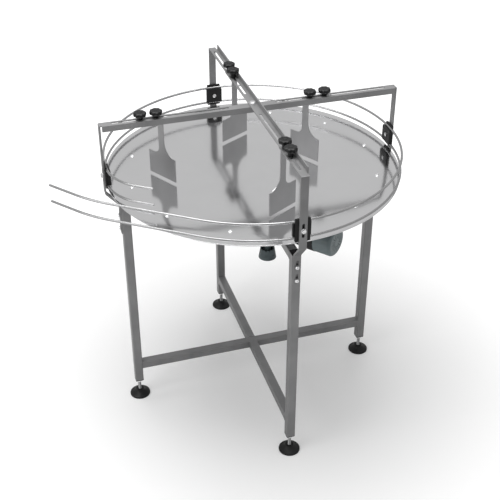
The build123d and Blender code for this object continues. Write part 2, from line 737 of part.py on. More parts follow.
# Paddles: a blade and stem cut from one plate, with a foot bar under the beam
for place, angle in arms.items():
    beam_bottom = beam_x_bottom if place in ("left", "right") else beam_y_bottom
    bar_top = beam_bottom - slide_gap
    stem_side = blade_width / 2 - strip_width / 2
    blade_bottom = table_top + blade_gap
    blade_top = blade_bottom + blade_height
    centre = outwards(angle) * paddle_places[place]
    turn = angle + paddle_turns[place]
    with BuildPart() as paddle:
        with BuildSketch(Plane(origin=centre, x_dir=outwards(turn), z_dir=outwards(turn - 90))):
            with BuildLine():
                half = blade_width / 2
                stem = strip_width / 2
                Polyline(
                    (-half, blade_top),
                    (-half, blade_bottom),
                    (half, blade_bottom),
                    (half, blade_top),
                )
                CenterArc((half, blade_top + stem_side), stem_side, 180, 90)
                Polyline(
                    (stem, blade_top + stem_side),
                    (stem, bar_top - foot_bar),
                    (-stem, bar_top - foot_bar),
                    (-stem, blade_top + small_sweep),
                )
                CenterArc((-stem - small_sweep, blade_top + small_sweep), small_sweep, 270, 90)
                Line((-stem - small_sweep, blade_top), (-half, blade_top))
            make_face()
        extrude(amount=paddle_thickness / 2, both=True)
        with BuildSketch(level(angle, bar_top)):
            with Locations((paddle_places[place] + (foot_bar_outer - foot_bar_inner) / 2, 0)):
                RectangleRounded(foot_bar_outer + foot_bar_inner, strip_width, strip_corner)
            with Locations(*[(paddle_places[place] + out, 0) for out in knob_offsets.values()]):
                Circle(bolt_radius + running_gap, mode=Mode.SUBTRACT)
        extrude(amount=-foot_bar)
    paddle.part.label = f"paddle_{place}"
    export_step(paddle.part, f"parts/paddle_{place}.step")

    # Two star knobs that clamp the paddle to its beam
    leaf_top = beam_bottom + angle_thickness + slide_gap
    hub_height = knob_hub_low if place in ("left", "right") else knob_hub_high
    for end, out in knob_offsets.items():
        spot = (paddle_places[place] + out, 0)
        with BuildPart() as knob:
            with BuildSketch(level(angle, leaf_top + hub_height)):
                with Locations(spot):
                    Circle(knob_radius - lobe_radius)
                    with PolarLocations(knob_radius - lobe_radius, knob_lobes):
                        Circle(lobe_radius)
            extrude(amount=knob_thickness)
            chamfer(knob.faces().sort_by(Axis.Z)[-1].edges(), knob_edge)
            with BuildSketch(level(angle, leaf_top)):
                with Locations(spot):
                    Circle(knob_hub_radius)
            extrude(amount=hub_height)
            with BuildSketch(level(angle, leaf_top)):
                with Locations(spot):
                    Circle(bolt_radius)
            extrude(amount=bar_top - foot_bar - knob_stud_below - leaf_top)
        knob.part.label = f"knob_{place}_{end}"
        export_step(knob.part, f"parts/knob_{place}_{end}.step")

# Guide rails: one rod each, from the outer end of the lane round the disc to its inner end
leave_angle = lane_heading - 90
leave = outwards(leave_angle) * ring_radius
corner = leave - outwards(lane_heading) * lane_straight
outer_end = corner - outwards(lane_heading - lane_bend) * lane_end
ring_sweep = inner_start - leave_angle
bend_centre = outwards(inner_start) * (ring_radius - inner_bend_radius)
inner_turn = lane_heading + 360 - inner_start - 90
bend_end = bend_centre + outwards(inner_start + inner_turn) * inner_bend_radius
rail_end = bend_end + outwards(lane_heading) * inner_end
for level_name, height in (
    ("upper", rail_centre + rail_spacing / 2),
    ("lower", rail_centre - rail_spacing / 2),
):
    with BuildPart() as guide_rail:
        with BuildLine(Plane.XY.offset(height)):
            FilletPolyline(
                (outer_end.X, outer_end.Y),
                (corner.X, corner.Y),
                (leave.X, leave.Y),
                radius=lane_bend_radius,
            )
            CenterArc((0, 0), ring_radius, leave_angle, ring_sweep)
            CenterArc((bend_centre.X, bend_centre.Y), inner_bend_radius, inner_start, inner_turn)
            Line((bend_end.X, bend_end.Y), (rail_end.X, rail_end.Y))
        with BuildSketch(Plane(
            origin=outer_end + Vector(0, 0, height),
            x_dir=(0, 0, 1),
            z_dir=outwards(lane_heading - lane_bend),
        )):
            Circle(rod_radius)
        sweep()
    guide_rail.part.label = f"guide_rail_{level_name}"
    export_step(guide_rail.part, f"parts/guide_rail_{level_name}.step")


# Rail clamps: bases against the uprights and covers over the rods
base_face = upright_inner - slide_gap
rod_heights = (rail_centre - rail_spacing / 2, rail_centre + rail_spacing / 2)
with BuildPart() as clamp_bases:
    for angle in arms.values():
        with BuildSketch(facing(angle, base_face)):
            with Locations((rail_centre, 0)):
                RectangleRounded(*clamp_base_size, clamp_corner)
                Circle(bolt_radius + running_gap, mode=Mode.SUBTRACT)
        extrude(amount=clamp_inner_face - base_face)
    with Locations(*[(0, 0, height) for height in rod_heights]):
        Torus(ring_radius, rod_radius + rod_gap, mode=Mode.SUBTRACT)
clamp_bases.part.label = "clamp_bases"
export_step(clamp_bases.part, "parts/clamp_bases.step")

with BuildPart() as clamp_covers:
    for angle in arms.values():
        with BuildSketch(facing(angle, clamp_inner_face)):
            with Locations((rail_centre, 0)):
                RectangleRounded(*clamp_cover_size, clamp_corner)
                Circle(bolt_radius + running_gap, mode=Mode.SUBTRACT)
        extrude(amount=-clamp_cover_depth)
        with BuildSketch(facing(angle, clamp_inner_face - clamp_cover_depth)):
            with Locations((rail_centre, 0)):
                Circle(clamp_recess_radius)
        extrude(amount=clamp_recess_depth, mode=Mode.SUBTRACT)
    with Locations(*[(0, 0, height) for height in rod_heights]):
        Torus(ring_radius, rod_radius + rod_gap, mode=Mode.SUBTRACT)
clamp_covers.part.label = "clamp_covers"
export_step(clamp_covers.part, "parts/clamp_covers.step")

with BuildPart() as clamp_bolts:
    for angle in arms.values():
        inner_face = clamp_inner_face - clamp_cover_depth + clamp_recess_depth
        outer_face = upright_outer + slide_gap
        with BuildSketch(facing(angle, inner_face)):
            with Locations((rail_centre, 0)):
                Circle(bolt_radius)
        extrude(amount=outer_face - inner_face)
        with BuildSketch(facing(angle, inner_face)):
            with Locations((rail_centre, 0)):
                RegularPolygon(head_width / 2, 6, major_radius=False)
        extrude(amount=-head_height)
        with BuildSketch(facing(angle, outer_face)):
            with Locations((rail_centre, 0)):
                Circle(washer_radius)
        extrude(amount=washer_thickness)
        with BuildSketch(facing(angle, outer_face + washer_thickness)):
            with Locations((rail_centre, 0)):
                RegularPolygon(head_width / 2, 6, major_radius=False)
        extrude(amount=head_height)
clamp_bolts.part.label = "clamp_bolts"
export_step(clamp_bolts.part, "parts/clamp_bolts.step")

# Plain disc with a rounded edge
with BuildPart() as table_disc:
    with BuildSketch(Plane.XY.offset(disc_bottom)):
        Circle(table_radius)
    extrude(amount=disc_thickness)
    fillet(table_disc.edges(), disc_edge)
    with BuildSketch(Plane.XY.offset(disc_bottom)):
        with PolarLocations(screw_circle, screw_count, screw_start):
            Circle(screw_radius + running_gap)
    extrude(amount=disc_thickness, mode=Mode.SUBTRACT)
table_disc.part.label = "table_disc"
export_step(table_disc.part, "parts/table_disc.step")

with BuildPart() as disc_screws:
    with BuildSketch(Plane.XY.offset(ring_bottom)):
        with PolarLocations(screw_circle, screw_count, screw_start):
            Circle(screw_radius)
    extrude(amount=table_top - ring_bottom)
    with BuildSketch(Plane.XY.offset(table_top)):
        with PolarLocations(screw_circle, screw_count, screw_start):
            Circle(screw_head_radius)
    extrude(amount=screw_head_height, taper=screw_taper)
disc_screws.part.label = "disc_screws"
export_step(disc_screws.part, "parts/disc_screws.step")

with BuildPart() as support_ring:
    with BuildSketch(Plane.XY.offset(ring_bottom)):
        Circle(screw_circle + ring_width / 2)
        Circle(screw_circle - ring_width / 2, mode=Mode.SUBTRACT)
        with PolarLocations(screw_circle, screw_count, screw_start):
            Circle(screw_radius + running_gap, mode=Mode.SUBTRACT)
    extrude(amount=ring_thickness)
support_ring.part.label = "support_ring"
export_step(support_ring.part, "parts/support_ring.step")

# Spider under the ring: a hub with six bars between the screws
with BuildPart() as spider:
    bar_length = screw_circle + ring_width / 2 - hub_radius / 2
    with BuildSketch(Plane.XY.offset(spider_bottom)):
        Circle(hub_radius)
        first_bar = screw_start + 180 / screw_count
        with PolarLocations((hub_radius + bar_length) / 2, spider_arms, first_bar):
            Rectangle(bar_length, spider_arm_width)
    extrude(amount=spider_arm_height)
    with BuildSketch(Plane.XY.offset(ring_bottom)):
        Circle(hub_web_radius)
    extrude(amount=ring_thickness)
    with BuildSketch(Plane.XY.offset(spider_bottom)):
        Circle(shaft_radius + running_gap)
    extrude(amount=spider_arm_height, mode=Mode.SUBTRACT)
spider.part.label = "spider"
export_step(spider.part, "parts/spider.step")

# Drive shaft from the gearbox through the bearing to the spider
with BuildPart() as drive_shaft:
    with BuildSketch(Plane.XY.offset(gearbox_bottom - shaft_below_gearbox)):
        Circle(shaft_radius)
    extrude(amount=ring_bottom - gearbox_bottom + shaft_below_gearbox)
    with BuildSketch(Plane.XY.offset(spider_bottom)):
        Circle(shoulder_radius)
    extrude(amount=-shoulder_height)
drive_shaft.part.label = "drive_shaft"
export_step(drive_shaft.part, "parts/drive_shaft.step")
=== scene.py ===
from math import acos, atan2, cos, pi, radians, sin, sqrt, tan

import bpy
from mathutils import Matrix, Vector


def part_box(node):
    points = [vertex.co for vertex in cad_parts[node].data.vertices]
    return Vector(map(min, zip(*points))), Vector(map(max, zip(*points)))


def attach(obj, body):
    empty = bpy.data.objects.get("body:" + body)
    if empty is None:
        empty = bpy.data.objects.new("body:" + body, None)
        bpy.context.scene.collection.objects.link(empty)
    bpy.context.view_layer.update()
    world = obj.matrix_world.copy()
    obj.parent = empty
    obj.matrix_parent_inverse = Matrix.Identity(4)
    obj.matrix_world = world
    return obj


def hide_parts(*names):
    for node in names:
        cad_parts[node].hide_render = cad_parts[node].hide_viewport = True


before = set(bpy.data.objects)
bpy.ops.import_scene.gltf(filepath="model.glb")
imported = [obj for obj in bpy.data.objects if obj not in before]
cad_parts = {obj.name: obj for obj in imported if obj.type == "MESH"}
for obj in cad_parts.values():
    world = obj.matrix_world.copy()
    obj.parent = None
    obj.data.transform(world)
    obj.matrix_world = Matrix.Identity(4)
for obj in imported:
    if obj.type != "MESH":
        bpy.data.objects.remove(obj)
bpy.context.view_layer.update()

# The object's nodes are in metres, +Z up and -Y to the front.
ARMS = {"right": 0.0, "back": 90.0, "left": 180.0, "front": 270.0}
MM = 0.001

# Camera of the photograph, 500 by 500
AZIMUTH = radians(-17.057)
ELEVATION = radians(33.479)
DISTANCE = 3.8477
TARGET = Vector((0.0781, 0.2917, 0.375))
LENS = 69.535
SENSOR = 36.0
SHIFT = (0.00136, -0.00385)


def outwards(angle):
    """Unit direction from the table's axis at an angle in degrees."""
    return Vector((cos(radians(angle)), sin(radians(angle)), 0))


# Materials


def material(name, color, metallic=0.0, roughness=0.5, **sockets):
    """A node material with a Principled shader; further sockets by name."""
    mat = bpy.data.materials.new(name)
    mat.use_nodes = True
    shader = mat.node_tree.nodes["Principled BSDF"]
    shader.inputs["Base Color"].default_value = (*color, 1)
    shader.inputs["Metallic"].default_value = metallic
    shader.inputs["Roughness"].default_value = roughness
    for socket, value in sockets.items():
        shader.inputs[socket.replace("_", " ")].default_value = value
    return mat


def texture(mat, scale, stretch=(1, 1, 1), detail=4.0, rough=0.6):
    """Noise in the object's own coordinates, stretched along an axis for a brushed grain."""
    nodes = mat.node_tree.nodes
    links = mat.node_tree.links
    place = nodes.new("ShaderNodeTexCoord")
    mapping = nodes.new("ShaderNodeMapping")
    mapping.inputs["Scale"].default_value = stretch
    noise = nodes.new("ShaderNodeTexNoise")
    noise.inputs["Scale"].default_value = scale
    noise.inputs["Detail"].default_value = detail
    noise.inputs["Roughness"].default_value = rough
    links.new(place.outputs["Object"], mapping.inputs["Vector"])
    links.new(mapping.outputs["Vector"], noise.inputs["Vector"])
    return noise.outputs["Fac"]


def ranged(mat, value, low, high, source=(0.3, 0.7)):
    """Maps a value from one range to another."""
    node = mat.node_tree.nodes.new("ShaderNodeMapRange")
    node.inputs["From Min"].default_value = source[0]
    node.inputs["From Max"].default_value = source[1]
    node.inputs["To Min"].default_value = low
    node.inputs["To Max"].default_value = high
    mat.node_tree.links.new(value, node.inputs["Value"])
    return node.outputs["Result"]


def tinted(mat, value, dark, light, source=(0.3, 0.7)):
    """Base colour between two tones, led by a value."""
    nodes = mat.node_tree.nodes
    ramp = nodes.new("ShaderNodeValToRGB")
    ramp.color_ramp.elements[0].position = source[0]
    ramp.color_ramp.elements[0].color = (*dark, 1)
    ramp.color_ramp.elements[1].position = source[1]
    ramp.color_ramp.elements[1].color = (*light, 1)
    mat.node_tree.links.new(value, ramp.inputs["Fac"])
    mat.node_tree.links.new(ramp.outputs["Color"], nodes["Principled BSDF"].inputs["Base Color"])


def roughened(mat, value, low, high):
    """Roughness between two values, led by a value."""
    shader = mat.node_tree.nodes["Principled BSDF"]
    mat.node_tree.links.new(ranged(mat, value, low, high), shader.inputs["Roughness"])


def bumped(mat, value, strength, distance):
    """Bump led by a value, with its depth in metres."""
    nodes = mat.node_tree.nodes
    bump = nodes.new("ShaderNodeBump")
    bump.inputs["Strength"].default_value = strength
    bump.inputs["Distance"].default_value = distance
    mat.node_tree.links.new(value, bump.inputs["Height"])
    mat.node_tree.links.new(bump.outputs["Normal"], nodes["Principled BSDF"].inputs["Normal"])


def grey(level):
    """A neutral colour."""
    return (level, level, level * 1.01)


def brushed_steel(
    name, tone, along, roughness=(0.3, 0.42), spread=0.06, fine=900.0, metallic=1.0
):
    """Satin ground stainless steel; the grain runs along one axis of the object."""
    stretch = [1.0, 1.0, 1.0]
    if along is not None:
        stretch[along] = 0.03
    mat = material(name, grey(tone), metallic=metallic)
    grain = texture(mat, fine, stretch)
    clouds = texture(mat, 9.0, detail=2.0)
    tinted(mat, clouds, grey(tone - spread / 2), grey(tone + spread / 2))
    roughened(mat, grain, *roughness)
    bumped(mat, grain, 0.25, 0.00002)
    return mat


def plastic(name, color, roughness, grain=1400.0, depth=0.00004, spread=0.25):
    """Moulded plastic with a fine spark-eroded grain."""
    mat = material(name, color, roughness=roughness[0], Specular_IOR_Level=0.3)
    fine = texture(mat, grain, detail=2.0)
    clouds = texture(mat, 35.0, detail=3.0)
    tinted(mat, clouds, [c * (1 - spread) for c in color], [c * (1 + spread) for c in color])
    roughened(mat, clouds, *roughness)
    bumped(mat, fine, 0.35, depth)
    return mat


def enamel(name, color, roughness=(0.32, 0.45)):
    """Sprayed machine enamel with a slight orange peel."""
    mat = material(name, color, roughness=roughness[0])
    peel = texture(mat, 320.0, detail=1.0)
    clouds = texture(mat, 14.0, detail=4.0)
    tinted(mat, clouds, [c * 0.9 for c in color], [c * 1.08 for c in color])
    roughened(mat, clouds, *roughness)
    bumped(mat, peel, 0.2, 0.00006)
    return mat


FRAME_TONE = 0.25
STEEL_Z = brushed_steel("satin_steel_upright", FRAME_TONE, 2, (0.36, 0.48), metallic=0.5)
STEEL_X = brushed_steel("satin_steel_across", FRAME_TONE, 0, (0.36, 0.48), metallic=0.5)
STEEL_Y = brushed_steel("satin_steel_deep", FRAME_TONE, 1, (0.36, 0.48), metallic=0.5)
PLATE = brushed_steel("satin_steel_plate", 0.4, 2, roughness=(0.3, 0.4), spread=0.04)
DISC = brushed_steel("disc_steel", 0.78, 0, roughness=(0.1, 0.15), spread=0.02, fine=500.0)
ROD = brushed_steel("bright_rod_steel", 0.36, None, (0.2, 0.3), fine=1500.0, metallic=0.8)
BRIGHT = brushed_steel("bright_fastener_steel", 0.92, None, roughness=(0.2, 0.3), fine=1200.0)
STUD = brushed_steel("threaded_stud_steel", 0.3, None, (0.25, 0.4), fine=1200.0, metallic=0.8)
CARRIER = enamel("carrier_primer", (0.1, 0.103, 0.106), roughness=(0.5, 0.65))
BLACK = plastic("black_polyamide", (0.006, 0.006, 0.0065), (0.42, 0.55))
KNOB = plastic("black_knob_plastic", (0.006, 0.006, 0.0065), (0.3, 0.42))
MOTOR = enamel("motor_enamel", (0.15, 0.19, 0.197))
# The motor casing's near-black enamel is painted shade of the casing under the disc.
MOTOR_PAINTED_SHADE = enamel("motor_enamel_painted_shade", (0.02, 0.024, 0.026))
WHEEL = plastic("handwheel_plastic", (0.075, 0.095, 0.1), (0.35, 0.5))
# Near-black plastic for the sheet in the handwheel's recess: painted shade.
WHEEL_RECESS_SHADE = plastic("handwheel_recess_painted_shade", (0.008, 0.01, 0.011), (0.4, 0.55))

FINISHES = {
    "leg_top_caps": BLACK, "lower_cross_tube_x": STEEL_X, "lower_cross_tubes_y": STEEL_Y,
    "upper_arms": STEEL_X, "drive_plate": STEEL_X, "bearing_plate": STEEL_X,
    "bearing_housing": CARRIER, "gearbox_housing": MOTOR, "variator_housing": MOTOR,
    "motor_casing": MOTOR_PAINTED_SHADE, "motor_neck": BLACK, "fan_cowl": MOTOR, "terminal_box": MOTOR,
    "foot_inserts": BLACK, "foot_locknuts": BRIGHT, "upright_bolts": BRIGHT,
    "drive_bolts": BRIGHT, "table_disc": DISC, "disc_screws": BRIGHT, "support_ring": CARRIER,
    "spider": CARRIER, "drive_shaft": STUD, "cooling_fan": BLACK, "speed_handwheel": WHEEL,
    "beam_x": STEEL_X, "beam_y": STEEL_Y, "beam_bolt": BRIGHT, "guide_rail_upper": ROD,
    "guide_rail_lower": ROD, "clamp_bases": BLACK, "clamp_covers": BLACK, "clamp_bolts": BRIGHT,
}
for place in ARMS:
    FINISHES[f"leg_{place}"] = STEEL_Z
    FINISHES[f"upright_{place}"] = STEEL_Z
    FINISHES[f"paddle_{place}"] = PLATE
    FINISHES[f"foot_pad_{place}"] = BLACK
    FINISHES[f"foot_stud_{place}"] = STUD
    for end in ("inner", "outer"):
        FINISHES[f"knob_{place}_{end}"] = KNOB

for name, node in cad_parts.items():
    node.data.materials.clear()
    node.data.materials.append(FINISHES[name])

# Mesh helpers


def middle(name):
    """Middle of a node's box."""
    low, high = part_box(name)
    return (low + high) / 2


def add_piece(name, verts, faces, mat, body, slot, replaces=(), sharp=35.0):
    """A mesh piece, smooth but for edges over the sharp angle, that rides on a body."""
    mesh = bpy.data.meshes.new(name)
    mesh.from_pydata([tuple(v) for v in verts], [], faces)
    mesh.polygons.foreach_set("use_smooth", [True] * len(mesh.polygons))
    mesh.update()
    mesh.set_sharp_from_angle(angle=radians(sharp))
    mesh.materials.append(mat)
    piece = bpy.data.objects.new(name, mesh)
    bpy.context.scene.collection.objects.link(piece)
    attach(piece, body)
    if replaces:
        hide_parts(*replaces)
    return piece


def rings_mesh(rings, closed=False):
    """Vertices and faces of a skin over rings of equal length, capped unless it is closed."""
    count = len(rings[0])
    verts = [v for ring in rings for v in ring]
    faces = []
    for r in range(len(rings) - 1):
        for i in range(count):
            j = (i + 1) % count
            faces.append((r * count + i, r * count + j, (r + 1) * count + j, (r + 1) * count + i))
    if closed:
        last = (len(rings) - 1) * count
        for i in range(count):
            j = (i + 1) % count
            faces.append((last + i, last + j, j, i))
    else:
        faces.append(tuple(reversed(range(count))))
        last = (len(rings) - 1) * count
        faces.append(tuple(last + i for i in range(count)))
    return verts, faces


def placed(verts, matrix):
    """Vertices moved by a matrix."""
    return [matrix @ Vector(v) for v in verts]


def joined(parts):
    """One list of vertices and faces from several."""
    verts, faces = [], []
    for part_verts, part_faces in parts:
        base = len(verts)
        verts.extend(part_verts)
        faces.extend(tuple(i + base for i in face) for face in part_faces)
    return verts, faces


def pointing(origin, direction):
    """Matrix that takes +Z to a direction and the origin to a point."""
    turn = Vector(direction).to_track_quat("Z", "Y").to_matrix().to_4x4()
    return Matrix.Translation(origin) @ turn


def lathe(profile, segments=48):
    """Skin turned about Z from points (radius, height), from the bottom to the top."""
    rings = [
        [(r * cos(2 * pi * i / segments), r * sin(2 * pi * i / segments), z)
         for i in range(segments)]
        for r, z in profile
    ]
    return rings_mesh(rings)


def arc(centre, radius, start, end, steps):
    """Points of an arc in a profile, angles in degrees."""
    points = []
    for k in range(steps + 1):
        a = radians(start + (end - start) * k / steps)
        points.append((centre[0] + radius * cos(a), centre[1] + radius * sin(a)))
    return points


def hexagon_radius(angle, half_width):
    """Distance to the side of a hexagon at an angle."""
    inside = (angle + pi / 6) % (pi / 3) - pi / 6
    return half_width / cos(inside)


def hex_head(half_width, height, segments=48):
    """Hexagon head standing on Z = 0, its top corners turned off at 30 degrees."""
    crown = half_width * 0.94
    angles = [2 * pi * i / segments for i in range(segments)]

    def ring(radii, heights):
        return [(r * cos(a), r * sin(a), z) for r, z, a in zip(radii, heights, angles)]

    sides = [hexagon_radius(a, half_width) for a in angles]
    shoulders = [height - (r - crown) * tan(radians(30)) for r in sides]
    dish = height - 0.03 * half_width
    return rings_mesh([
        ring(sides, [0] * segments),
        ring(sides, shoulders),
        ring([crown] * segments, [height] * segments),
        ring([crown * 0.8] * segments, [height] * segments),
        ring([crown * 0.72] * segments, [dish] * segments),
        ring([crown * 0.1] * segments, [dish] * segments),
    ])


def hex_nut(half_width, height, bore, segments=48):
    """Hexagon nut standing on Z = 0, turned off at both ends and open in the middle."""
    crown = half_width * 0.95
    angles = [2 * pi * i / segments for i in range(segments)]
    sides = [hexagon_radius(a, half_width) for a in angles]
    slope = tan(radians(30))

    def ring(radii, heights):
        return [(r * cos(a), r * sin(a), z) for r, z, a in zip(radii, heights, angles)]

    rings = [
        ring([bore] * segments, [0.05 * height] * segments),
        ring([bore * 1.08] * segments, [0] * segments),
        ring([crown] * segments, [0] * segments),
        ring(sides, [(r - crown) * slope for r in sides]),
        ring(sides, [height - (r - crown) * slope for r in sides]),
        ring([crown] * segments, [height] * segments),
        ring([bore * 1.08] * segments, [height] * segments),
        ring([bore] * segments, [0.95 * height] * segments),
    ]
    return rings_mesh(rings, closed=True)


def washer(radius, thickness, segments=48):
    """Flat washer on Z = 0 with a small edge break."""
    edge = 0.15 * thickness
    return lathe([(radius - edge, 0), (radius, edge), (radius, thickness - edge),
                  (radius - edge, thickness)], segments)


def button_head(radius, height, socket, segments=36):
    """Round screw head on Z = 0 with a hexagon socket."""
    angles = [2 * pi * i / segments for i in range(segments)]
    sides = [hexagon_radius(a, socket) for a in angles]

    def ring(radii, level):
        return [(r * cos(a), r * sin(a), level) for r, a in zip(radii, angles)]

    floor = height * 0.35
    rings = [ring([radius * 0.96] * segments, 0), ring([radius] * segments, height * 0.12)]
    for k in range(1, 7):
        a = radians(15 * k)
        reach = radius * (0.55 + 0.45 * cos(a * 0.95))
        rings.append(ring([reach] * segments, height * (0.12 + 0.86 * sin(a))))
    rings.append(ring([s * 1.12 for s in sides], height))
    rings.append(ring(sides, height * 0.95))
    rings.append(ring(sides, floor))
    rings.append(ring([s * 0.1 for s in sides], floor))
    return rings_mesh(rings)


def threaded(radius, start, end, pitch=1.75 * MM, depth=0.9 * MM, segments=32, steps=6):
    """Threaded rod along Z, its ridge a helix."""
    count = int((end - start) / pitch * steps)
    rings = []
    for k in range(count + 1):
        z = start + (end - start) * k / count
        ring = []
        for i in range(segments):
            phase = (z / pitch - i / segments) % 1.0
            ridge = 1 - abs(2 * phase - 1)
            r = radius - depth * (1 - ridge)
            a = 2 * pi * i / segments
            ring.append((r * cos(a), r * sin(a), z))
        rings.append(ring)
    return rings_mesh(rings)


def tube_along(points, radius, segments=20):
    """Round tube along a path of points, its ends closed flat."""
    rings = []
    up = Vector((0, 0, 1))
    total = len(points)
    for k, point in enumerate(points):
        before = points[max(k - 1, 0)]
        after = points[min(k + 1, total - 1)]
        ahead = (after - before).normalized()
        side = up.cross(ahead).normalized()
        over = ahead.cross(side)
        rings.append([
            point + side * radius * cos(2 * pi * i / segments)
            + over * radius * sin(2 * pi * i / segments)
            for i in range(segments)
        ])
    first = points[0]
    last = points[-1]

    def shrunk(ring, centre, share, reach):
        shift = (centre - points[1 if centre is first else -2]).normalized() * reach
        return [centre + (v - centre) * share + shift for v in ring]

    caps = ((0.85, 0.0005), (0.4, 0.0009))
    start_caps = [shrunk(rings[0], first, share, 0) for share, _ in reversed(caps)]
    end_caps = [shrunk(rings[-1], last, share, 0) for share, _ in caps]
    return rings_mesh(start_caps + rings + end_caps)


# Disc: one plain sheet with a rounded edge
disc_low, disc_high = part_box("table_disc")
DISC_RADIUS = disc_high.x
DISC_TOP = disc_high.z
DISC_EDGE = 1.0 * MM
disc_profile = (
    [(DISC_RADIUS * k / 8, disc_low.z) for k in (0.01, 1, 2, 3, 4, 5, 6, 7)]
    + arc((DISC_RADIUS - DISC_EDGE, disc_low.z + DISC_EDGE), DISC_EDGE, -90, 0, 4)
    + arc((DISC_RADIUS - DISC_EDGE, DISC_TOP - DISC_EDGE), DISC_EDGE, 0, 90, 4)
    + [(DISC_RADIUS * k / 8, DISC_TOP) for k in (7, 6, 5, 4, 3, 2, 1, 0.01)]
)
add_piece("disc_sheet", *lathe(disc_profile, 360), DISC, "turntable", "disc_steel", ["table_disc"])

# Button head screws on the disc
SCREW_CIRCLE = 0.424
SCREW_START = 3.6
SCREW_HEAD = (7.0 * MM, 2.6 * MM)
SCREW_SOCKET = 2.0 * MM
screws_low, screws_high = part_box("disc_screws")
screw_parts = []
for k in range(12):
    spot = outwards(SCREW_START + 30 * k) * SCREW_CIRCLE
    head = button_head(*SCREW_HEAD, SCREW_SOCKET)
    turn = Matrix.Rotation(radians(47 * k), 4, "Z")
    at_top = Matrix.Translation(spot + Vector((0, 0, DISC_TOP)))
    screw_parts.append((placed(head[0], at_top @ turn), head[1]))
    shank = lathe([(3 * MM, screws_low.z), (3 * MM, DISC_TOP)], 24)
    screw_parts.append((placed(shank[0], Matrix.Translation(spot)), shank[1]))
add_piece("disc_button_screws", *joined(screw_parts), BRIGHT, "turntable", "bright_fasteners",
          ["disc_screws"])

# Guide rails: drawn rods along the lane, the ring and the inner bend
RING = 0.4995
LANE_HEADING = -35.5
LANE_STRAIGHT = 0.358
LANE_BEND = 15.5
LANE_BEND_RADIUS = 0.45
LANE_END = 0.17
INNER_START = 182.5
INNER_BEND_RADIUS = 0.17
INNER_END = 0.055


def arc_points(centre, radius, start, end, step=1.5):
    """Points of a level arc, angles in degrees."""
    count = max(2, int(abs(end - start) / step))
    return [centre + outwards(start + (end - start) * k / count) * radius
            for k in range(count + 1)]


def rail_path():
    """Centre line of a rail at height 0, from the outer end of the lane to the inner end."""
    leave_angle = LANE_HEADING - 90
    leave = outwards(leave_angle) * RING
    corner = leave - outwards(LANE_HEADING) * LANE_STRAIGHT
    outer_heading = LANE_HEADING - LANE_BEND
    outer_end = corner - outwards(outer_heading) * LANE_END
    tangent = LANE_BEND_RADIUS * tan(radians(LANE_BEND / 2))
    bend_start = corner - outwards(outer_heading) * tangent
    bend_centre = bend_start + outwards(outer_heading + 90) * LANE_BEND_RADIUS
    inner_centre = outwards(INNER_START) * (RING - INNER_BEND_RADIUS)
    inner_stop = LANE_HEADING + 270
    inner = arc_points(inner_centre, INNER_BEND_RADIUS, INNER_START, inner_stop)
    return (
        [outer_end]
        + arc_points(bend_centre, LANE_BEND_RADIUS, outer_heading - 90, leave_angle)
        + arc_points(Vector(), RING, leave_angle, INNER_START)
        + inner[1:]
        + [inner[-1] + outwards(LANE_HEADING) * INNER_END]
    )


for level in ("upper", "lower"):
    node = f"guide_rail_{level}"
    height = middle(node).z
    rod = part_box(node)[1].z - height
    path = [point + Vector((0, 0, height)) for point in rail_path()]
    add_piece(f"rail_rod_{level}", *tube_along(path, rod), ROD, "rails", "rod_steel", [node])

# Star knobs with their studs
KNOB_HEAD = 14 * MM
KNOB_HUB = 9.5 * MM
KNOB_LOBES = 8
KNOB_DIP = 2.0 * MM
STUD_REACH = 16.3 * MM
STUD_RADIUS = 4 * MM


def star_knob(radius, head, hub_height):
    """Star grip on Z = 0 with a soft top, a cap in the middle and a hub below."""
    segments = 96

    def ring(reach, level, lobes):
        points = []
        for i in range(segments):
            a = 2 * pi * i / segments
            dip = KNOB_DIP * lobes * (1 - cos(KNOB_LOBES * a)) / 2
            points.append(((reach - dip) * cos(a), (reach - dip) * sin(a), level))
        return points

    base = hub_height
    return rings_mesh([
        ring(KNOB_HUB * 0.86, 0, 0),
        ring(KNOB_HUB * 0.92, 0.4 * MM, 0),
        ring(KNOB_HUB, base - 1.5 * MM, 0),
        ring(radius * 0.62, base, 0.2),
        ring(radius * 0.88, base + 0.6 * MM, 0.8),
        ring(radius * 0.97, base + 2.2 * MM, 1),
        ring(radius, base + 5 * MM, 1),
        ring(radius, base + head - 5 * MM, 1),
        ring(radius * 0.97, base + head - 2.2 * MM, 1),
        ring(radius * 0.88, base + head - 0.6 * MM, 0.9),
        ring(radius * 0.74, base + head, 0.5),
        ring(radius * 0.5, base + head - 0.5 * MM, 0.1),
        ring(radius * 0.36, base + head - 0.7 * MM, 0),
        ring(radius * 0.345, base + head - 1.3 * MM, 0),
        ring(radius * 0.33, base + head - 1.3 * MM, 0),
        ring(radius * 0.32, base + head - 0.5 * MM, 0),
        ring(radius * 0.27, base + head - 0.2 * MM, 0),
    ])


for place in ARMS:
    for end in ("inner", "outer"):
        node = f"knob_{place}_{end}"
        low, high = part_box(node)
        centre = middle(node)
        foot = low.z + STUD_REACH
        grip = star_knob((high.x - low.x) / 2, KNOB_HEAD, high.z - KNOB_HEAD - foot)
        turn = Matrix.Rotation(radians(13 * len(end) + 7 * len(place)), 4, "Z")
        spot = Matrix.Translation((centre.x, centre.y, foot))
        stud = threaded(STUD_RADIUS, -STUD_REACH, 0, pitch=1.25 * MM, depth=0.6 * MM, segments=24)
        add_piece(f"star_knob_{place}_{end}", placed(grip[0], spot @ turn), grip[1], KNOB, node,
                  "black_knob", [node])
        add_piece(f"knob_stud_{place}_{end}", placed(stud[0], spot), stud[1], STUD, node,
                  "stud_steel")

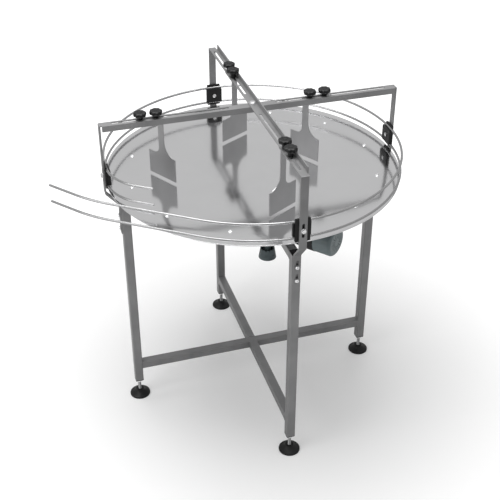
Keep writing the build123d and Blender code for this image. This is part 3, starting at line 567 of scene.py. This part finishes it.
# Levelling feet: moulded pads with an open socket, and studs with a ball
BALL_HEIGHT = 13 * MM
BALL_RADIUS = 8.7 * MM
SOCKET_RADIUS = 9 * MM
PAD_MOUTH = 7 * MM
THREAD_START = 23 * MM
THREAD_END = 66 * MM
FOOT_THREAD = 6 * MM
pad_profile = (
    [(0.2 * MM, 0.6 * MM), (30 * MM, 0.6 * MM), (30.5 * MM, 0), (36.6 * MM, 0),
     (37.5 * MM, 0.9 * MM), (37.5 * MM, 4.2 * MM)]
    + arc((34.7 * MM, 4.2 * MM), 2.8 * MM, 15, 80, 5)
    + [(30 * MM, 8.6 * MM), (22 * MM, 13.2 * MM), (16.6 * MM, 17.4 * MM), (15 * MM, 19.6 * MM),
       (14.8 * MM, 23.6 * MM)]
    + arc((13.4 * MM, 23.6 * MM), 1.4 * MM, 20, 90, 4)
    + [(7.8 * MM, 25 * MM), (PAD_MOUTH, 24.2 * MM)]
    + arc((0, BALL_HEIGHT), SOCKET_RADIUS, 38.9, -88, 14)
)
stud_profile = (
    arc((0, BALL_HEIGHT), BALL_RADIUS, -88, 52, 14)
    + [(5.2 * MM, THREAD_START - 1.4 * MM), (FOOT_THREAD - 0.9 * MM, THREAD_START)]
)
for place, angle in ARMS.items():
    foot_node = f"foot_pad_{place}"
    stud_node = f"foot_stud_{place}"
    centre = middle(foot_node)
    spot = Matrix.Translation((centre.x, centre.y, 0))
    pad = lathe(pad_profile, 64)
    add_piece(f"moulded_pad_{place}", placed(pad[0], spot), pad[1], BLACK, f"pad_{place}",
              "black_plastic", [foot_node])
    ball = lathe(stud_profile, 32)
    thread = threaded(FOOT_THREAD, THREAD_START, THREAD_END)
    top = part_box(stud_node)[1].z
    shank = lathe([(FOOT_THREAD, THREAD_END), (FOOT_THREAD, top - MM), (5 * MM, top)], 32)
    verts, faces = joined([ball, thread, shank])
    add_piece(f"ball_stud_{place}", placed(verts, spot), faces, STUD, f"stud_{place}",
              "stud_steel", [stud_node])

nuts_low, nuts_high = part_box("foot_locknuts")
LOCKNUT_HALF = 9.5 * MM
locknuts = []
for place, angle in ARMS.items():
    centre = middle(f"foot_stud_{place}")
    nut = hex_nut(LOCKNUT_HALF, nuts_high.z - nuts_low.z, FOOT_THREAD + 0.05 * MM)
    at_leg = Matrix.Translation((centre.x, centre.y, nuts_low.z))
    locknuts.append((placed(nut[0], at_leg @ Matrix.Rotation(radians(angle + 7), 4, "Z")), nut[1]))
add_piece("turned_locknuts", *joined(locknuts), BRIGHT, "root", "bright_fasteners",
          ["foot_locknuts"])

# Bolts of the uprights: a satin washer and a small bright head with a hexagon socket
WASHER = (8 * MM, 1.6 * MM)
SHANK = 4 * MM
HEAD_HALF = 6.5 * MM
HEAD_HEIGHT = 5.3 * MM
ADJUST_BOLTS = (0.092, 0.042)
arms_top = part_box("upper_arms")[1].z
bolts_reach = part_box("upright_bolts")[1].x
adjust_heads = []
adjust_washers = []
for place, angle in ARMS.items():
    for drop in ADJUST_BOLTS:
        seat = outwards(angle) * (bolts_reach - HEAD_HEIGHT - WASHER[1])
        at_strip = pointing(seat + Vector((0, 0, arms_top - drop)), outwards(angle))
        ring = washer(*WASHER)
        head = button_head(6.4 * MM, HEAD_HEIGHT, 2.5 * MM)
        shank = lathe([(SHANK, -17 * MM), (SHANK, 0)], 24)
        adjust_washers.append((placed(ring[0], at_strip), ring[1]))
        raised = at_strip @ Matrix.Translation((0, 0, WASHER[1]))
        adjust_heads.append((placed(head[0], raised), head[1]))
        adjust_heads.append((placed(shank[0], at_strip), shank[1]))
add_piece("adjusting_bolts", *joined(adjust_heads), BRIGHT, "root", "bright_fasteners",
          ["upright_bolts"])
add_piece("adjusting_washers", *joined(adjust_washers), STUD, "root", "bright_fasteners")

# Bolt through each clamp: a head in the cover's recess, a washer and nut on the upright
clamp_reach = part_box("clamp_bolts")[1].x
clamp_height = middle("clamp_bolts").z
strip_face = clamp_reach - HEAD_HEIGHT - WASHER[1]
CLAMP_GRIP = 19.0 * MM
clamp_parts = []
for place, angle in ARMS.items():
    centre = outwards(angle) * strip_face + Vector((0, 0, clamp_height))
    outer = pointing(centre, outwards(angle))
    inner = pointing(centre - outwards(angle) * CLAMP_GRIP, -outwards(angle))
    spin = Matrix.Rotation(radians(11 + angle / 9), 4, "Z")
    ring = washer(*WASHER)
    nut = hex_head(HEAD_HALF, HEAD_HEIGHT)
    head = hex_head(HEAD_HALF, HEAD_HEIGHT)
    shank = lathe([(SHANK, -CLAMP_GRIP), (SHANK, 0)], 24)
    clamp_parts.append((placed(ring[0], outer), ring[1]))
    clamp_parts.append((placed(nut[0], outer @ Matrix.Translation((0, 0, WASHER[1])) @ spin),
                        nut[1]))
    clamp_parts.append((placed(head[0], inner @ spin), head[1]))
    clamp_parts.append((placed(shank[0], outer), shank[1]))
add_piece("turned_clamp_bolts", *joined(clamp_parts), BRIGHT, "rails", "bright_fasteners",
          ["clamp_bolts"])

# Bolt and nut where the beams cross
bolt_low, bolt_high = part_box("beam_bolt")
BEAM_HEAD_HALF = 9.5 * MM
BEAM_HEAD = 7.5 * MM
BEAM_SHANK = 6 * MM
LEAVES = 6 * MM
beam_head = hex_head(BEAM_HEAD_HALF, BEAM_HEAD)
beam_nut = hex_nut(BEAM_HEAD_HALF, BEAM_HEAD, BEAM_SHANK + 0.02 * MM)
beam_thread = threaded(BEAM_SHANK, bolt_low.z, bolt_high.z - BEAM_HEAD)
head_seat = Matrix.Translation((0, 0, bolt_high.z - BEAM_HEAD))
nut_seat = Matrix.Translation((0, 0, bolt_high.z - 2 * BEAM_HEAD - LEAVES))
add_piece("crossing_bolt", *joined([
    (placed(beam_head[0], head_seat), beam_head[1]),
    (placed(beam_nut[0], nut_seat), beam_nut[1]),
    beam_thread,
]), BRIGHT, "overhead", "bright_fasteners", ["beam_bolt"])

# Weld beads where the cross tubes and the upper arms meet the legs
TUBE = 30 * MM
BEAD = 1.5 * MM


def weld_bead(centre, angle):
    """Rippled bead round the end of a square tube that runs out along an arm."""
    side = outwards(angle + 90)
    half = TUBE / 2
    steps = 120
    rings = []
    for k in range(steps):
        a = 2 * pi * k / steps
        reach = half / max(abs(cos(a)), abs(sin(a)))
        reach = min(reach, half * 1.32)
        ripple = BEAD * (0.85 + 0.15 * sin(34 * a))
        heart = centre + side * reach * cos(a) + Vector((0, 0, reach * sin(a)))
        away = (heart - centre).normalized()
        rings.append([
            heart + (away * cos(b) - outwards(angle) * sin(b)) * ripple
            for b in (2 * pi * j / 8 for j in range(8))
        ])
    return loop_mesh(rings)


def loop_mesh(rings):
    """Vertices and faces of a skin over a loop of rings."""
    count = len(rings[0])
    total = len(rings)
    verts = [v for ring in rings for v in ring]
    faces = []
    for r in range(total):
        after = (r + 1) % total
        for i in range(count):
            j = (i + 1) % count
            faces.append((r * count + i, r * count + j, after * count + j, after * count + i))
    return verts, faces


leg_inner_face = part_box("upper_arms")[1].x
arms_middle = middle("upper_arms").z
cross_middle = middle("lower_cross_tube_x").z
beads = []
for place, angle in ARMS.items():
    for height in (arms_middle, cross_middle):
        spot = outwards(angle) * leg_inner_face + Vector((0, 0, height))
        beads.append(weld_bead(spot, angle))
for place in ("back", "front"):
    spot = outwards(ARMS[place]) * TUBE / 2 + Vector((0, 0, cross_middle))
    beads.append(weld_bead(spot, ARMS[place] + 180))
add_piece("weld_beads", *joined(beads), STUD, "root", "frame_steel")

# Dark sheet on the floor of the handwheel's recess: painted shade in the recess
wheel_low, wheel_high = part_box("speed_handwheel")
WHEEL_HEIGHT = 36.5 * MM
WHEEL_RECESS = 9 * MM
wheel_middle = middle("speed_handwheel")
recess_floor = wheel_low.z + WHEEL_HEIGHT - WHEEL_RECESS
recess_shade_ring = lathe([(10.5 * MM, 0.2 * MM), (20.6 * MM, 0.2 * MM), (20.6 * MM, 0.8 * MM),
                (10.5 * MM, 0.8 * MM)], 64)
add_piece("wheel_recess_painted_shade",
          placed(recess_shade_ring[0], Matrix.Translation((wheel_middle.x, wheel_middle.y, recess_floor))),
          recess_shade_ring[1], WHEEL_RECESS_SHADE, "handwheel", "wheel_plastic")

# Floor, light and camera


def make_floor():
    """Pale floor that keeps the object's shadow."""
    size = 30.0
    mesh = bpy.data.meshes.new("floor")
    corners = [(-size, -size, 0), (size, -size, 0), (size, size, 0), (-size, size, 0)]
    mesh.from_pydata(corners, [], [(0, 1, 2, 3)])
    floor = bpy.data.objects.new("floor", mesh)
    bpy.context.scene.collection.objects.link(floor)
    mat = material("floor_paint", (0.8, 0.8, 0.8), roughness=0.6)
    mesh.materials.append(mat)
    return mat


def floor_glow_with_painted_shade(mat, near_glow, far_glow, reach):
    """Adds light of the floor's own for camera rays, less of it near the object, which paints
    shade round the object.
    """
    nodes = mat.node_tree.nodes
    links = mat.node_tree.links
    place = nodes.new("ShaderNodeTexCoord")
    distance = nodes.new("ShaderNodeVectorMath")
    distance.operation = "LENGTH"
    links.new(place.outputs["Object"], distance.inputs[0])
    glow = nodes.new("ShaderNodeMapRange")
    glow.interpolation_type = "SMOOTHSTEP"
    glow.inputs["From Min"].default_value = reach[0]
    glow.inputs["From Max"].default_value = reach[1]
    glow.inputs["To Min"].default_value = near_glow
    glow.inputs["To Max"].default_value = far_glow
    links.new(distance.outputs["Value"], glow.inputs["Value"])
    path = nodes.new("ShaderNodeLightPath")
    strength = nodes.new("ShaderNodeMath")
    strength.operation = "MULTIPLY"
    links.new(path.outputs["Is Camera Ray"], strength.inputs[0])
    links.new(glow.outputs["Result"], strength.inputs[1])
    shader = nodes["Principled BSDF"]
    shader.inputs["Emission Color"].default_value = (1, 1, 1, 1)
    links.new(strength.outputs[0], shader.inputs["Emission Strength"])


# The floor glows less near the object: painted shade round the table.
floor_glow_with_painted_shade(make_floor(), 0.2, 0.7, (0.7, 2.2))


def make_world(level, mirrored):
    """White to the camera, one level of light for reflections and one for the rest."""
    world = bpy.data.worlds.new("studio")
    bpy.context.scene.world = world
    world.use_nodes = True
    nodes = world.node_tree.nodes
    links = world.node_tree.links
    back = nodes["Background"]
    back.inputs["Color"].default_value = (1, 1, 1, 1)
    path = nodes.new("ShaderNodeLightPath")
    seen = nodes.new("ShaderNodeMath")
    seen.operation = "MAXIMUM"
    links.new(path.outputs["Is Camera Ray"], seen.inputs[0])
    links.new(path.outputs["Is Transmission Ray"], seen.inputs[1])
    ambient = nodes.new("ShaderNodeMapRange")
    ambient.inputs["To Min"].default_value = level
    ambient.inputs["To Max"].default_value = mirrored
    links.new(path.outputs["Is Glossy Ray"], ambient.inputs["Value"])
    strength = nodes.new("ShaderNodeMapRange")
    strength.inputs["To Max"].default_value = 1.0
    links.new(seen.outputs[0], strength.inputs["Value"])
    links.new(ambient.outputs["Result"], strength.inputs["To Min"])
    links.new(strength.outputs["Result"], back.inputs["Strength"])


make_world(0.42, 0.62)


def add_lamp(name, place, aim, size, power):
    """Square area lamp that faces a point."""
    data = bpy.data.lights.new(name, "AREA")
    data.shape = "SQUARE"
    data.size = size
    data.energy = power
    lamp = bpy.data.objects.new(name, data)
    bpy.context.scene.collection.objects.link(lamp)
    lamp.matrix_world = pointing(Vector(place), Vector(place) - Vector(aim))
    return lamp


add_lamp("top_light", (-0.3, 0.1, 3.4), (0, 0, 0), 2.2, 90)
add_lamp("left_light", (-3.2, -1.2, 2.0), (0, 0, 0.6), 1.8, 28)


def add_camera():
    """Camera at the photograph's place."""
    data = bpy.data.cameras.new("camera")
    data.lens = LENS
    data.sensor_width = SENSOR
    data.shift_x, data.shift_y = SHIFT
    data.clip_end = 100
    camera = bpy.data.objects.new("camera", data)
    bpy.context.scene.collection.objects.link(camera)
    away = Vector((sin(AZIMUTH) * cos(ELEVATION), -cos(AZIMUTH) * cos(ELEVATION), sin(ELEVATION)))
    across = Vector((cos(AZIMUTH), sin(AZIMUTH), 0))
    turn = Matrix((across, away.cross(across), away)).transposed().to_4x4()
    camera.matrix_world = Matrix.Translation(TARGET + away * DISTANCE) @ turn
    bpy.context.scene.camera = camera


add_camera()
bpy.context.scene.view_settings.view_transform = "Standard"
